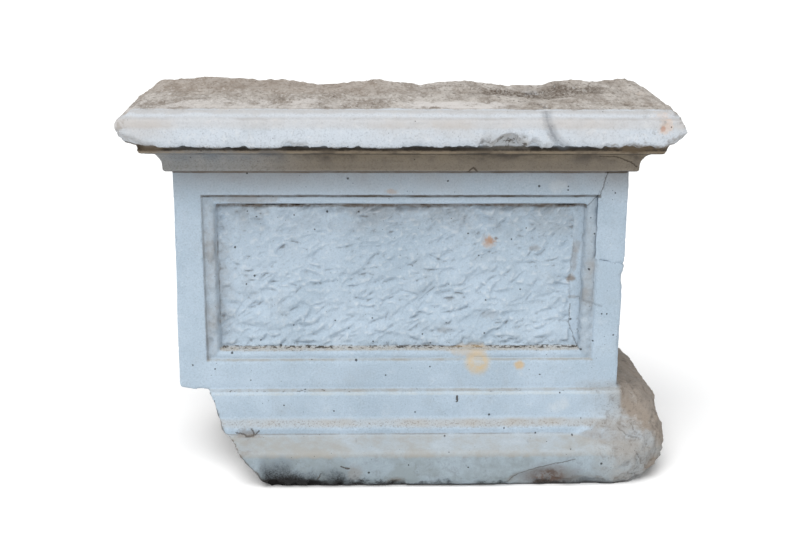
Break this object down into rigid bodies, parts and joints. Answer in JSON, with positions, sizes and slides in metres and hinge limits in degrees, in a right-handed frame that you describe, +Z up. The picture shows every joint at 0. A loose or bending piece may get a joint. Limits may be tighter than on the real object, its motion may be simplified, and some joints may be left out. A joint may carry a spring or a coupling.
{
  "type": "column base",
  "caption": "Rectangular moulded marble pedestal block with cornice, sunk framed panel and broken moulded base, worn and weathered",
  "frame": {"origin": "on the flat underside, below the middle of the die's width and half way through the block's depth", "axes": "+X along the panelled front to the viewer's right, +Y from the front to the plain back, +Z up"},
  "size_m": [0.7266, 0.268, 0.5138],
  "materials": {
    "marble": "worn bluish white marble, dirt stained"
  },
  "bodies": {
    "root": {"block": "marble", "refixed_corner": "marble"}
  },
  "joints": []
}
